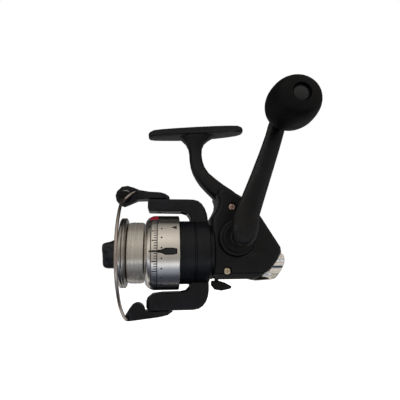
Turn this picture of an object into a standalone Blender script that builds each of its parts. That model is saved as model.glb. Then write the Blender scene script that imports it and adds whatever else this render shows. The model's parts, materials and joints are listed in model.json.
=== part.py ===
"""Spinning reel, built as separate pieces.

Every length below is in millimetres and is turned into metres when a mesh is made.
The reel frame has X running back along the main shaft, the handle on the -Y side and
the foot at +Z. Its origin is on the main shaft, under the handle axis. At the end all
of it hangs from one empty, which puts the middle of the foot's flat top at the world
origin with the foot level.
"""
import math

import bmesh
import bpy
from mathutils import Matrix, Vector

for old in list(bpy.data.objects):
    bpy.data.objects.remove(old, do_unlink=True)

MM = 0.001
GAP = 0.3

# Foot and stem
FOOT_TILT = math.radians(5.0)
FOOT_MIDDLE = (-21.5, 0.0, 78.0)

# Body
SPLIT_Y = -7.5
BODY_FAR_Y = 13.0
COVER_OUT_Y = -14.2
WALL = 1.6
COLLAR_RADIUS = 16.0
COLLAR_FRONT_X = -27.0

# Handle and gear train
HANDLE_Z = 7.5
HANDLE_SHAFT_RADIUS = 2.6
GEAR_TEETH = 31
PINION_TEETH = 6
PINION_PITCH_RADIUS = 3.2
GEAR_RING_IN = 9.0
GEAR_RING_OUT = 11.9
SMALL_TEETH = 12
OSC_TEETH = 18
OSC_X = 9.6
OSC_Z = -2.6
OSC_THROW = 5.5
ARM_END = (18.2, -43.6, 67.0)

# Main shaft and spool
SHAFT_RADIUS = 1.5
SKIRT_RADIUS = 21.8
SKIRT_REAR_X = -32.5
ARBOR_RADIUS = 12.0
WINDING_RADIUS = 17.6

# Rotor and bail
CUP_RADIUS = 18.7
BAIL_X = -44.5
ARM_END_RADIUS = 7.2
UPPER_ARM_OUT = 31.4
LOWER_ARM_OUT = -32.7
ROLLER_START = (-64.5, -3.2, 33.9)
ROLLER_TILT = math.radians(20.0)
WIRE_RADIUS = 0.85


# ---------------------------------------------------------------- helpers

def face_outwards(mesh, weld=0.0):
    """Turn every face of a closed mesh outwards, welding its close points first if asked."""
    work = bmesh.new()
    work.from_mesh(mesh)
    if weld:
        bmesh.ops.remove_doubles(work, verts=work.verts, dist=weld)
        bmesh.ops.dissolve_degenerate(work, edges=work.edges, dist=weld)
    bmesh.ops.recalc_face_normals(work, faces=work.faces)
    if work.calc_volume(signed=True) < 0:
        bmesh.ops.reverse_faces(work, faces=work.faces)
    work.to_mesh(mesh)
    work.free()


def make_object(name, points, faces):
    """Make a mesh object from points in millimetres, with its faces turned outwards."""
    mesh = bpy.data.meshes.new(name)
    mesh.from_pydata([[v * MM for v in point] for point in points], [], faces)
    mesh.update()
    face_outwards(mesh)
    item = bpy.data.objects.new(name, mesh)
    bpy.context.scene.collection.objects.link(item)
    return item


def on_axis(axis, along, across, up):
    """Put a length along the named axis, and two lengths across it."""
    if axis == "X":
        return (along, across, up)
    if axis == "Y":
        return (across, along, up)
    return (across, up, along)


def revolve(name, outline, axis="X", centre=(0, 0, 0), segments=32, ripple=None):
    """Turn a closed outline of (along, radius) pairs about an axis through centre."""
    points = []
    rings = []
    for along, radius in outline:
        if radius < 1e-6:
            points.append([c + p for c, p in zip(centre, on_axis(axis, along, 0, 0))])
            rings.append([len(points) - 1])
            continue
        ring = []
        for i in range(segments):
            angle = 2 * math.pi * i / segments
            reach = radius * (ripple(along, radius, angle) if ripple else 1.0)
            spot = on_axis(axis, along, reach * math.cos(angle), reach * math.sin(angle))
            points.append([c + p for c, p in zip(centre, spot)])
            ring.append(len(points) - 1)
        rings.append(ring)
    faces = []
    for i, ring in enumerate(rings):
        following = rings[(i + 1) % len(rings)]
        if len(ring) == 1 and len(following) == 1:
            continue
        for k in range(segments):
            m = (k + 1) % segments
            if len(ring) == 1:
                faces.append((ring[0], following[k], following[m]))
            elif len(following) == 1:
                faces.append((ring[k], following[0], ring[m]))
            else:
                faces.append((ring[k], following[k], following[m], ring[m]))
    return make_object(name, points, faces)


def rod(name, axis, centre, low, high, radius, segments=16):
    """A plain cylinder from low to high along an axis through centre."""
    sections = []
    for along in (low, high):
        section = []
        for i in range(segments):
            angle = 2 * math.pi * (i + 0.37) / segments
            spot = on_axis(axis, along, radius * math.cos(angle), radius * math.sin(angle))
            section.append([c + p for c, p in zip(centre, spot)])
        sections.append(section)
    return loft(name, sections)


def ring(name, axis, centre, low, high, inner, outer, segments=24, edge=0.0):
    """A plain ring, with an optional chamfer on its outer edges."""
    if edge:
        outline = [(low, inner), (low, outer - edge), (low + edge, outer),
                   (high - edge, outer), (high, outer - edge), (high, inner)]
    else:
        outline = [(low, inner), (low, outer), (high, outer), (high, inner)]
    return revolve(name, outline, axis, centre, segments)


def loft(name, sections):
    """Skin a row of sections that all have the same number of points, closing the ends."""
    count = len(sections[0])
    points = [point for section in sections for point in section]
    faces = [tuple(range(count))]
    faces.append(tuple(range(len(points) - count, len(points))))
    for i in range(len(sections) - 1):
        for k in range(count):
            m = (k + 1) % count
            a = i * count
            faces.append((a + k, a + m, a + count + m, a + count + k))
    return make_object(name, points, faces)


def prism(name, outline, axis, low, high):
    """A flat outline drawn across an axis, made thick from low to high along it."""
    return loft(name, [[on_axis(axis, level, a, b) for a, b in outline] for level in (low, high)])


def block(name, x, y, z):
    """A box between the given pairs of limits."""
    outline = [(x[0], y[0]), (x[1], y[0]), (x[1], y[1]), (x[0], y[1])]
    return prism(name, outline, "Z", z[0], z[1])


def shrink(outline, amount):
    """Move each side of an outline inwards by the same amount."""
    count = len(outline)
    area = sum(outline[i][0] * outline[(i + 1) % count][1]
               - outline[(i + 1) % count][0] * outline[i][1] for i in range(count))
    sign = 1.0 if area > 0 else -1.0
    moved = []
    for i in range(count):
        before, here, after = outline[i - 1], outline[i], outline[(i + 1) % count]
        first = Vector((here[0] - before[0], here[1] - before[1])).normalized()
        second = Vector((after[0] - here[0], after[1] - here[1])).normalized()
        n1 = Vector((-first.y, first.x)) * sign
        n2 = Vector((-second.y, second.x)) * sign
        step = (n1 + n2) / (1.0 + n1.dot(n2))
        moved.append((here[0] + step.x * amount, here[1] + step.y * amount))
    return moved


def smooth_path(knots, steps):
    """A smooth curve through the knots, cut into short straight pieces."""
    path = []
    for i in range(len(knots) - 1):
        p0 = Vector(knots[max(i - 1, 0)])
        p1 = Vector(knots[i])
        p2 = Vector(knots[i + 1])
        p3 = Vector(knots[min(i + 2, len(knots) - 1)])
        for k in range(steps):
            t = k / steps
            path.append(0.5 * (2 * p1 + (p2 - p0) * t + (2 * p0 - 5 * p1 + 4 * p2 - p3) * t * t
                               + (3 * p1 - p0 - 3 * p2 + p3) * t * t * t))
    path.append(Vector(knots[-1]))
    return path


def sweep(name, path, radii, segments=10):
    """A round bar along a path, with its own radius at each point of the path."""
    path = [Vector(p) for p in path]
    sections = []
    heading = (path[1] - path[0]).normalized()
    side = heading.orthogonal().normalized()
    for i, point in enumerate(path):
        ahead = path[min(i + 1, len(path) - 1)] - path[max(i - 1, 0)]
        ahead.normalize()
        side = (side - ahead * side.dot(ahead)).normalized()
        other = ahead.cross(side)
        sections.append([])
        for k in range(segments):
            angle = 2 * math.pi * k / segments
            sections[-1].append(point + (side * math.cos(angle) + other * math.sin(angle)) * radii[i])
    return loft(name, sections)


def settle(item):
    """Turn an object's modifiers into plain geometry."""
    bpy.context.view_layer.update()
    graph = bpy.context.evaluated_depsgraph_get()
    shaped = bpy.data.meshes.new_from_object(item.evaluated_get(graph))
    item.modifiers.clear()
    face_outwards(shaped)
    item.data = shaped


def combine(item, others, operation):
    """Add, cut away or keep the shared part of other objects, then remove them."""
    for other in others:
        other.hide_render = True
        other.display_type = "WIRE"
        step = item.modifiers.new("shape", "BOOLEAN")
        step.operation = operation
        step.solver = "EXACT"
        step.object = other
        settle(item)
    for other in others:
        bpy.data.objects.remove(other, do_unlink=True)
    return item


def add(item, *others):
    return combine(item, others, "UNION")


def cut(item, *others):
    return combine(item, others, "DIFFERENCE")


def keep_shared(item, *others):
    return combine(item, others, "INTERSECT")


def soften(item, width, steps=1, limit=40.0):
    """Round or chamfer the sharp edges of an object."""
    step = item.modifiers.new("edge", "BEVEL")
    step.width = width * MM
    step.segments = steps
    step.limit_method = "ANGLE"
    step.angle_limit = math.radians(limit)
    step.use_clamp_overlap = True
    settle(item)
    return item


def turn(item, matrix):
    """Move an object's mesh by a matrix whose shift is in millimetres."""
    moved = matrix.copy()
    moved.translation = moved.translation * MM
    item.data.transform(moved)
    return item


def material(name, colour, metallic, roughness):
    made = bpy.data.materials.new(name)
    made.use_nodes = True
    shader = made.node_tree.nodes["Principled BSDF"]
    shader.inputs["Base Color"].default_value = (*colour, 1.0)
    shader.inputs["Metallic"].default_value = metallic
    shader.inputs["Roughness"].default_value = roughness
    made.diffuse_color = (*colour, 1.0)
    return made


BLACK = material("black_plastic", (0.012, 0.013, 0.016), 0.0, 0.35)
STEEL = material("steel", (0.55, 0.54, 0.52), 1.0, 0.25)
CHROME = material("chrome", (0.78, 0.78, 0.78), 1.0, 0.08)
ZINC = material("cast_zinc", (0.42, 0.42, 0.43), 1.0, 0.45)
BRASS = material("brass", (0.72, 0.52, 0.25), 1.0, 0.3)
SILVER = material("silver_aluminium", (0.62, 0.63, 0.65), 1.0, 0.3)
LINE = material("clear_line", (0.5, 0.47, 0.4), 0.0, 0.35)
FELT = material("felt", (0.2, 0.17, 0.13), 0.0, 0.9)
WHITE = material("white_plastic", (0.75, 0.74, 0.7), 0.0, 0.45)

frame = bpy.data.objects.new("reel_frame", None)
bpy.context.scene.collection.objects.link(frame)


def finish(item, look, pivot=(0, 0, 0), crease=35.0):
    """Clean a piece, put its origin on its pivot, and give it its look and its parent."""
    face_outwards(item.data, 1e-6)
    item.data.transform(Matrix.Translation(Vector(pivot) * -MM))
    item.location = Vector(pivot) * MM
    item.data.materials.clear()
    item.data.materials.append(look.copy())
    item.data.materials[0].name = item.name + "_look"
    item.data.shade_smooth()
    item.data.set_sharp_from_angle(angle=math.radians(crease))
    item.parent = frame
    return item


def screw(name, axis, centre, head_end, shank_end, head_radius, shank_radius, head_height, look):
    """A slotted screw whose head starts at head_end and whose shank runs to shank_end."""
    way = 1.0 if shank_end > head_end else -1.0
    under = head_end + way * head_height
    dome = head_end + way * head_height * 0.35
    outline = [(head_end, 0), (head_end, head_radius * 0.7), (dome, head_radius),
               (under, head_radius), (under, shank_radius), (shank_end, shank_radius),
               (shank_end, 0)]
    item = revolve(name, outline, axis, centre, 12)
    limits = {"X": 0, "Y": 1, "Z": 2}[axis]
    span = [[c - head_radius * 2, c + head_radius * 2] for c in centre]
    across = (limits + 1) % 3
    span[across] = [centre[across] - 0.3, centre[across] + 0.3]
    span[limits] = sorted([head_end - way * 0.5, head_end + way * head_height * 0.5])
    cut(item, block("slot", *span))
    return finish(item, look, centre)


def gear_outline(teeth, radius, above, below, width, phase):
    """The outline of a straight gear. Width is the share of a tooth's pitch that is metal."""
    outline = []
    pitch = 2 * math.pi / teeth
    for i in range(teeth):
        middle = phase + i * pitch
        for share, reach in ((-0.62, -below), (-0.30, above), (0.30, above), (0.62, -below)):
            angle = middle + share * pitch * width
            outline.append(((radius + reach) * math.cos(angle), (radius + reach) * math.sin(angle)))
    return outline


# ---------------------------------------------------------------- body

BODY = [(-13.9, -10.5), (-13.6, -14.2), (-12.4, -15.5), (-10.6, -15.8), (10.2, -15.8),
        (15.2, -14.2), (20.2, -10.3), (24.4, -5.1), (26.9, -0.5), (26.6, 2.4),
        (15.0, 21.2), (8.6, 29.4), (6.2, 31.2), (1.2, 34.1), (-3.0, 36.3), (-7.0, 37.6), (-9.4, 36.2),
        (-10.3, 33.3), (-9.3, 30.0), (-9.7, 26.8), (-11.6, 23.0), (-13.6, 20.0)]
CAVITY = shrink(BODY, WALL)
COVER_SCREWS = ((-2.0, 25.8), (-5.6, -11.0))
POST_RADIUS = 3.0
FOOT_ROWS = [(-30.5, 2.0, -1.5, -3.6), (-29.6, 3.4, -0.8, -4.2), (-27.0, 4.7, 0.0, -4.4),
             (-22.0, 5.8, 0.0, -4.5), (-12.0, 6.5, 0.0, -4.9), (0.0, 6.8, 0.0, -5.2),
             (12.0, 6.6, 0.0, -4.9), (21.0, 6.0, 0.0, -4.5), (26.5, 5.0, 0.0, -4.2),
             (29.4, 3.4, -0.6, -3.9), (30.3, 1.8, -1.3, -3.3)]
STEM_ROWS = [(28.5, -8.6, 8.4, 7.2), (32.0, -10.6, 7.4, 7.2), (35.0, -13.4, 4.6, 7.1), (37.7, -16.1, 1.2, 7.0),
             (41.4, -19.5, -4.4, 6.6), (45.2, -22.0, -9.4, 6.1), (49.0, -23.9, -13.7, 5.6),
             (53.0, -25.2, -16.3, 5.1), (57.0, -25.8, -17.5, 4.8), (61.0, -26.0, -18.0, 4.7),
             (65.0, -26.6, -17.8, 4.9), (68.5, -28.4, -16.4, 5.3), (71.5, -31.6, -13.0, 5.8),
             (74.2, -36.5, -8.5, 6.1)]


def to_foot(along, across, up):
    """A point given along, across and above the foot, in the reel frame."""
    return (FOOT_MIDDLE[0] + along * math.cos(FOOT_TILT) - up * math.sin(FOOT_TILT), across,
            FOOT_MIDDLE[2] + along * math.sin(FOOT_TILT) + up * math.cos(FOOT_TILT))


def make_foot():
    sections = []
    for along, half, top, bottom in FOOT_ROWS:
        rim = (top + bottom) / 2 + 0.4
        across_up = [(-half * 0.86, top), (half * 0.86, top), (half, top - 0.8 if top == 0 else rim),
                     (half, bottom + 0.9), (half * 0.75, bottom + 0.1), (half * 0.3, bottom),
                     (-half * 0.3, bottom), (-half * 0.75, bottom + 0.1), (-half, bottom + 0.9),
                     (-half, top - 0.8 if top == 0 else rim)]
        sections.append([to_foot(along, a, u) for a, u in across_up])
    return loft("foot", sections)


def make_stem():
    sections = []
    for z, front, rear, half in STEM_ROWS:
        middle = (front + rear) / 2
        reach = (rear - front) / 2
        section = []
        for k in range(14):
            angle = 2 * math.pi * k / 14
            c = math.cos(angle)
            s = math.sin(angle)
            section.append((middle + reach * math.copysign(abs(c) ** 0.8, c),
                            half * math.copysign(abs(s) ** 0.8, s), z))
        sections.append(section)
    return loft("stem", sections)


def shell(name, levels):
    """The body outline skinned across a row of (y, inset, lowest z) levels."""
    sections = []
    for y, inset, floor in levels:
        outline = shrink(BODY, inset) if inset else BODY
        sections.append([(x, y, max(z, floor + 0.04 * abs(x))) for x, z in outline])
    return loft(name, sections)


def make_housing():
    handle = (0, 0, HANDLE_Z)
    item = shell("body_housing", ((SPLIT_Y, 0, -99), (10.2, 0, -99), (12.0, 0.7, -99),
                                  (12.8, 1.7, -99), (BODY_FAR_Y, 2.4, -99)))
    add(item, make_stem(), make_foot())
    add(item, rod("boss", "Y", handle, 11.0, 15.0, 8.0))
    inside = [(x, min(z, 32.6)) for x, z in CAVITY]
    cut(item, prism("cavity", inside, "Y", SPLIT_Y - 1, 11.0))
    add(item, rod("collar", "X", (0, 0, 0), COLLAR_FRONT_X, -12.9, COLLAR_RADIUS, 40))
    cut(item, rod("throat", "X", (0, 0, 0), COLLAR_FRONT_X - 1.0, -10.0, 14.5, 40))
    carrier = revolve("carrier", [(-24.0, 3.1), (-24.0, 7.4), (-19.6, 7.4), (-19.6, 15.2),
                                  (-17.4, 15.2), (-17.4, 7.4), (-13.2, 7.4), (-13.2, 3.1)], segments=32)
    add(item, carrier)
    cut(item, rod("front_seat", "X", (0, 0, 0), -24.5, -20.7, 5.5))
    cut(item, rod("rear_seat", "X", (0, 0, 0), -16.4, -12.8, 5.5))
    posts = [rod("post", "Y", (x, 0, z), SPLIT_Y + 0.2, 11.5, POST_RADIUS, 14) for x, z in COVER_SCREWS]
    add(item, *posts)
    bores = [rod("bore", "Y", (x, 0, z), SPLIT_Y - 1, 4.0, 1.4, 12) for x, z in COVER_SCREWS]
    cut(item, *bores)
    add(item, rod("far_seat", "Y", handle, 7.3, 12.0, 7.2))
    cut(item, rod("far_bore", "Y", handle, 6.0, 16.0, 3.4))
    cut(item, rod("far_bearing_seat", "Y", handle, 11.4, 16.0, 5.5))
    add(item, rod("osc_post", "Y", (OSC_X, 0, OSC_Z), 7.0, 11.5, 2.6, 16))
    cut(item, rod("osc_bore", "Y", (OSC_X, 0, OSC_Z), 6.0, 10.6, 1.6, 16))
    cut(item, block("lever_slot", (-11.3, -8.6), (-1.6, 3.4), (-17.0, -10.5)))
    cut(item, rod("lever_bore", "X", (0, 0, -10.2), -21.0, -16.0, 1.5, 16))
    add(item, rod("pawl_post", "X", (0, 8.4, -8.4), -24.2, -19.0, 1.9, 16))
    cut(item, rod("pawl_bore", "X", (0, 8.4, -8.4), -25.0, -20.4, 1.2, 16))
    cut(item, rod("cap_bore", "X", (0, 2.0, -4.6), 19.0, 29.0, 1.4, 12))
    return finish(item, BLACK)


def make_cover():
    handle = (0, 0, HANDLE_Z)
    edge = SPLIT_Y - GAP
    item = shell("side_cover", ((edge, 0, -99), (-9.0, 0, -99), (-11.8, 0, -14.2), (-13.2, 0.7, -13.2),
                                (-14.0, 1.7, -12.4), (COVER_OUT_Y, 2.4, -11.9)))
    boss = revolve("boss", [(-12.6, 0), (-12.6, 11.2), (-15.0, 10.8), (-16.5, 10.0), (-17.0, 9.1),
                            (-17.0, 0)], "Y", handle)
    add(item, boss)
    cut(item, prism("cavity", [(x, max(z, -12.2)) for x, z in CAVITY], "Y", -12.4, edge + 1))
    cut(item, rod("collar_clear", "X", (0, 0, 0), -15.0, -12.6, COLLAR_RADIUS + GAP, 40))
    add(item, rod("inner_seat", "Y", handle, -13.0, -10.6, 7.2))
    posts = [rod("post", "Y", (x, 0, z), -13.0, edge - 0.2, POST_RADIUS, 14) for x, z in COVER_SCREWS]
    add(item, *posts)
    cut(item, rod("bore", "Y", handle, -18.0, -9.0, 3.4))
    cut(item, rod("bearing_seat", "Y", handle, -18.0, -13.4, 5.5))
    holes = [rod("hole", "Y", (x, 0, z), -18.0, edge + 1, 1.4, 12) for x, z in COVER_SCREWS]
    heads = [rod("head", "Y", (x, 0, z), -18.0, -12.3, 2.6, 16) for x, z in COVER_SCREWS]
    cut(item, *holes, *heads)
    return finish(item, BLACK)


def make_rear_cap():
    outline = [(11.0, -16.0), (15.5, -14.6), (20.6, -10.7), (24.8, -5.4), (27.4, -0.8),
               (28.6, -0.9), (30.0, -2.2), (30.6, -4.3), (30.2, -7.0), (28.2, -11.0),
               (25.6, -14.5), (24.0, -15.9), (21.5, -16.5), (12.0, -17.0), (10.7, -16.7)]
    item = prism("rear_cap", outline, "Y", -7.2, 11.4)
    soften(item, 0.9, 2, 50)
    cut(item, rod("hole", "X", (0, 2.0, -4.6), 19.0, 34.0, 1.4, 12))
    cut(item, rod("head", "X", (0, 2.0, -4.6), 29.0, 34.0, 2.5, 16))
    return finish(item, CHROME)


make_housing()
make_cover()
make_rear_cap()
for number, (x, z) in enumerate(COVER_SCREWS, 1):
    screw("cover_screw_%d" % number, "Y", (x, 0, z), -13.9, -1.0, 2.2, 1.1, 1.4, BRASS)
screw("rear_cap_screw", "X", (0, 2.0, -4.6), 30.5, 20.0, 2.1, 1.1, 1.2, STEEL)

HANDLE = (0, 0, HANDLE_Z)
finish(ring("handle_bearing_near", "Y", HANDLE, -16.7, -13.7, 2.9, 5.2), STEEL, HANDLE)
finish(ring("handle_bearing_far", "Y", HANDLE, 11.7, 14.7, 2.9, 5.2), STEEL, HANDLE)
finish(ring("pinion_bearing_front", "X", (0, 0, 0), -23.8, -21.0, 2.9, 5.2), STEEL)
finish(ring("pinion_bearing_rear", "X", (0, 0, 0), -16.1, -13.4, 2.9, 5.2), STEEL)


# ---------------------------------------------------------------- handle and gears

def make_drive_gear():
    disc = [(-9.4, 2.9), (-9.4, 5.4), (-7.8, 5.8), (-7.4, GEAR_RING_IN), (-7.8, GEAR_RING_OUT),
            (-4.1, GEAR_RING_OUT), (-4.1, GEAR_RING_IN), (-5.8, GEAR_RING_IN - 0.4), (-5.8, 5.0),
            (-4.4, 4.8), (-4.4, 2.9)]
    item = revolve("drive_gear", disc, "Y", HANDLE, 36)
    middle = (GEAR_RING_IN + GEAR_RING_OUT) / 2
    reach = math.sqrt(middle ** 2 - HANDLE_Z ** 2)
    ratio = GEAR_TEETH / PINION_TEETH
    rise = (ratio * PINION_PITCH_RADIUS - reach) / HANDLE_Z
    mesh_angle = math.atan2(-HANDLE_Z, -reach)
    skew = math.atan2(rise, 1.0) - (mesh_angle + math.pi)
    half = (GEAR_RING_OUT - GEAR_RING_IN) / 2 - 0.3
    points = []
    faces = []
    for i in range(GEAR_TEETH):
        angle = mesh_angle + 2 * math.pi * i / GEAR_TEETH
        spot = Vector((middle * math.cos(angle), middle * math.sin(angle)))
        line = Vector((math.cos(angle + skew), math.sin(angle + skew)))
        side = Vector((-line.y, line.x))
        start = len(points)
        for y, width in ((-4.4, 0.46), (-2.85, 0.18)):
            for a, b in ((-half, -width), (half, -width), (half, width), (-half, width)):
                corner = spot + line * a + side * b
                points.append((corner.x, y, HANDLE_Z + corner.y))
        faces.append([start + k for k in (0, 1, 2, 3)])
        faces.append([start + k for k in (4, 5, 6, 7)])
        for k in range(4):
            m = (k + 1) % 4
            faces.append([start + k, start + m, start + 4 + m, start + 4 + k])
    add(item, make_object("teeth", points, faces))
    return finish(item, ZINC, HANDLE)


def make_pinion():
    middle = (GEAR_RING_IN + GEAR_RING_OUT) / 2
    reach = math.sqrt(middle ** 2 - HANDLE_Z ** 2)
    ratio = GEAR_TEETH / PINION_TEETH
    rise = (ratio * PINION_PITCH_RADIUS - reach) / HANDLE_Z
    twist = rise / PINION_PITCH_RADIUS
    pitch = 2 * math.pi / PINION_TEETH
    sections = []
    steps = 7
    rear_x = -4.4
    front_x = -11.0
    for step in range(steps + 1):
        x = front_x + (rear_x - front_x) * step / steps
        section = []
        for i in range(PINION_TEETH):
            middle_angle = (i + 0.5) * pitch - twist * (x + reach)
            for share, radius in ((-0.34, 2.6), (-0.15, 3.8), (0.15, 3.8), (0.34, 2.6)):
                angle = middle_angle + share * pitch
                section.append((x, -radius * math.cos(angle), -radius * math.sin(angle)))
        sections.append(section)
    item = loft("pinion_gear", sections)
    add(item, rod("tube", "X", (0, 0, 0), -33.4, -10.5, 2.6, 28))
    cut(item, rod("bore", "X", (0, 0, 0), -34.0, -4.0, 1.8, 24))
    return finish(item, BRASS)


def make_handle_arm():
    rows = [(2.3, 0.3, 2.6, -30.6, 2.4), (3.4, 0.5, 4.4, -30.8, 3.8), (6.0, 0.8, 6.1, -31.0, 4.9),
            (10.0, 1.2, 7.1, -31.2, 5.2), (14.0, 1.4, 7.2, -31.6, 4.8), (18.0, 2.0, 7.0, -32.0, 4.1),
            (28.0, 5.6, 6.4, -33.8, 3.2), (40.0, 9.8, 5.7, -36.4, 2.8), (52.0, 13.9, 5.2, -39.0, 2.6),
            (60.0, 16.4, 4.9, -40.7, 2.5), (65.0, 17.8, 4.9, -41.5, 2.4), (69.0, 18.8, 4.4, -41.8, 2.2),
            (71.2, 19.1, 2.8, -41.9, 1.9)]
    sections = []
    for z, x, half_x, y, half_y in rows:
        section = []
        for k in range(14):
            angle = 2 * math.pi * k / 14
            section.append((x + half_x * math.cos(angle), y + half_y * math.sin(angle), z))
        sections.append(section)
    item = loft("handle_arm", sections)
    shank = [(-19.4, 0), (-19.4, 4.8), (-21.4, 5.0), (-22.0, 4.3), (-27.0, 4.6),
             (-30.0, 5.4), (-30.0, 0)]
    add(item, revolve("shank", shank, "Y", HANDLE, 20))
    cut(item, rod("bore", "Y", HANDLE, -33.6, -19.0, 2.9))
    end = (ARM_END[0], 0, ARM_END[2])
    cut(item, rod("pin_hole", "Y", end, -48.0, -36.0, 1.8, 20))
    cut(item, rod("spot_face", "Y", end, -48.0, -43.4, 6.0, 20))
    cut(item, rod("pin_head_seat", "Y", end, -40.4, -36.0, 3.2, 20))
    return finish(item, ZINC, HANDLE)


def make_knob():
    rows = [(-44.2, 5.0), (-45.0, 5.7), (-47.2, 6.6), (-51.0, 8.9), (-55.5, 11.2), (-60.0, 12.4),
            (-64.5, 12.5), (-69.0, 11.7), (-72.6, 10.3), (-74.6, 9.2), (-75.2, 8.3), (-75.4, 4.6)]
    centre = (ARM_END[0], 0, ARM_END[2])
    outline = [(-44.2, 2.2)] + rows + [(-73.4, 4.3), (-73.2, 3.6), (-73.2, 2.2)]

    def squash(along, radius, angle):
        if radius < 4.7:
            return 1.0
        return 1.0 - 0.06 * math.sin(angle) ** 2 * min(1.0, (radius - 4.7) / 5.0)

    item = revolve("handle_knob", outline, "Y", centre, 32, squash)
    return finish(item, BLACK, (ARM_END[0], -60.0, ARM_END[2]), 30)


def spur(name, teeth, radius, y, centre, bore, width, phase, look):
    """A straight gear lying across Y, with a round bore."""
    outline = gear_outline(teeth, radius, 0.65, 0.85, width, phase)
    outline = [(centre[0] + a, centre[2] + b) for a, b in outline]
    item = prism(name, outline, "Y", y[0], y[1])
    if bore:
        cut(item, rod("bore", "Y", centre, y[0] - 1, y[1] + 1, bore, 20))
    return item


make_drive_gear()
make_pinion()
finish(revolve("handle_shaft", [(15.2, 0), (15.2, 2.3), (14.9, HANDLE_SHAFT_RADIUS),
                                (-32.9, HANDLE_SHAFT_RADIUS), (-33.3, 2.2), (-33.3, 0)], "Y", HANDLE, 24),
       STEEL, HANDLE)
cap = revolve("handle_cap", [(15.5, 0), (15.5, 7.4), (16.2, 7.8), (18.4, 7.6), (19.4, 6.8), (19.8, 5.0),
                             (19.8, 0)], "Y", HANDLE, 32,
              lambda a, r, t: 1.0 + (0.02 * math.cos(8 * t) if r > 7 else 0.0))
cut(cap, block("coin_slot", (-5.0, 5.0), (19.0, 21.0), (HANDLE_Z - 0.7, HANDLE_Z + 0.7)))
finish(cap, BLACK, HANDLE)
finish(ring("handle_collar", "Y", HANDLE, -19.1, -17.3, 2.9, 8.4, 28, 0.5), STEEL, HANDLE)
make_handle_arm()
KNOB = (ARM_END[0], 0, ARM_END[2])
pin = revolve("knob_pin", [(-40.1, 0), (-40.1, 1.5), (-73.0, 1.5), (-73.0, 0)], "Y", KNOB, 20)
add(pin, rod("pin_head", "Y", KNOB, -40.1, -38.6, 2.8, 20))
finish(pin, STEEL, KNOB)
finish(ring("knob_washer", "Y", KNOB, -43.9, -43.6, 1.8, 4.0, 20), WHITE, KNOB)
make_knob()
finish(revolve("knob_cap", [(-73.5, 0), (-73.5, 3.9), (-74.9, 4.0), (-75.3, 3.4), (-75.5, 0)], "Y",
               KNOB, 28), BLACK, KNOB)

OSC = (OSC_X, 0, OSC_Z)
toward = math.atan2(OSC_Z - HANDLE_Z, OSC_X)
small_radius = math.hypot(OSC_X, OSC_Z - HANDLE_Z) * SMALL_TEETH / (SMALL_TEETH + OSC_TEETH)
osc_radius = small_radius * OSC_TEETH / SMALL_TEETH
finish(spur("oscillation_pinion", SMALL_TEETH, small_radius, (4.2, 6.8), HANDLE, 2.9, 0.42, toward, STEEL),
       STEEL, HANDLE)
osc = spur("oscillation_gear", OSC_TEETH, osc_radius, (4.4, 6.6), OSC, 0, 0.42,
           toward + math.pi + math.pi / OSC_TEETH, WHITE)
add(osc, rod("axle", "Y", OSC, 6.0, 10.3, 1.3, 16))
add(osc, rod("crank_pin", "Y", (OSC_X + OSC_THROW * 0.27, 0, OSC_Z + OSC_THROW * 0.963), 3.95, 5.0, 1.0, 16))
finish(osc, WHITE, OSC)


# ---------------------------------------------------------------- main shaft, slider, ratchet

shaft = revolve("main_shaft", [(14.2, 0), (14.2, 1.2), (13.9, SHAFT_RADIUS), (-73.8, SHAFT_RADIUS),
                               (-74.2, 1.1), (-74.2, 0)], segments=24)
finish(shaft, STEEL)
slider = block("slider", (8.0, 13.0), (1.9, 3.6), (-10.4, 4.5))
add(slider, block("clamp", (8.0, 13.0), (-2.5, 2.5), (-3.2, 3.2)))
soften(slider, 0.4)
cut(slider, block("slot", (9.2, 11.8), (2.6, 4.5), (-9.3, 3.6)))
cut(slider, rod("shaft_bore", "X", (0, 0, 0), 7.0, 14.0, 1.8, 20))
cut(slider, rod("screw_bore", "Z", (10.5, 0, 0), -4.0, 0.0, 0.9, 12))
finish(slider, ZINC)
screw("slider_screw", "Z", (10.5, 0, 0), -4.6, -1.8, 1.5, 0.6, 1.1, STEEL)

wheel = []
for i in range(12):
    start = 2 * math.pi * i / 12
    wheel.append((8.4 * math.cos(start), 8.4 * math.sin(start)))
    wheel.append((7.0 * math.cos(start + 0.06), 7.0 * math.sin(start + 0.06)))
    wheel.append((7.3 * math.cos(start + 0.28), 7.3 * math.sin(start + 0.28)))
ratchet = prism("ratchet_wheel", wheel, "X", -26.5, -24.6)
cut(ratchet, rod("bore", "X", (0, 0, 0), -28.0, -23.0, 2.9, 20))
finish(ratchet, STEEL)
PAWL = (0, 8.4, -8.4)
pawl = prism("anti_reverse_pawl", [(10.4, -8.2), (9.6, -10.3), (7.6, -10.6), (3.0, -9.7), (2.6, -8.6),
                                   (6.0, -7.0), (8.6, -6.4)], "X", -26.5, -24.6)
cut(pawl, rod("bore", "X", PAWL, -28.0, -23.0, 1.2, 16))
finish(pawl, STEEL, PAWL)
finish(rod("pawl_pin", "X", PAWL, -26.7, -20.7, 0.9, 16), STEEL, PAWL)
LEVER = (0, 0, -10.2)
lever = rod("anti_reverse_lever", "X", LEVER, -24.2, -8.9, 1.2, 16)
add(lever, block("neck", (-11.0, -8.9), (-1.0, 1.0), (-17.2, -9.6)))
fin = prism("fin", [(-13.2, -16.9), (-8.6, -16.9), (-4.9, -18.1), (-1.2, -20.1), (-0.8, -20.8),
                    (-1.9, -21.7), (-7.2, -22.7), (-11.2, -22.0), (-13.2, -19.6)], "Y", -1.5, 1.5)
add(lever, soften(fin, 0.5, 1, 50))
finish(lever, BLACK, LEVER)


# ---------------------------------------------------------------- rotor and bail

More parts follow.
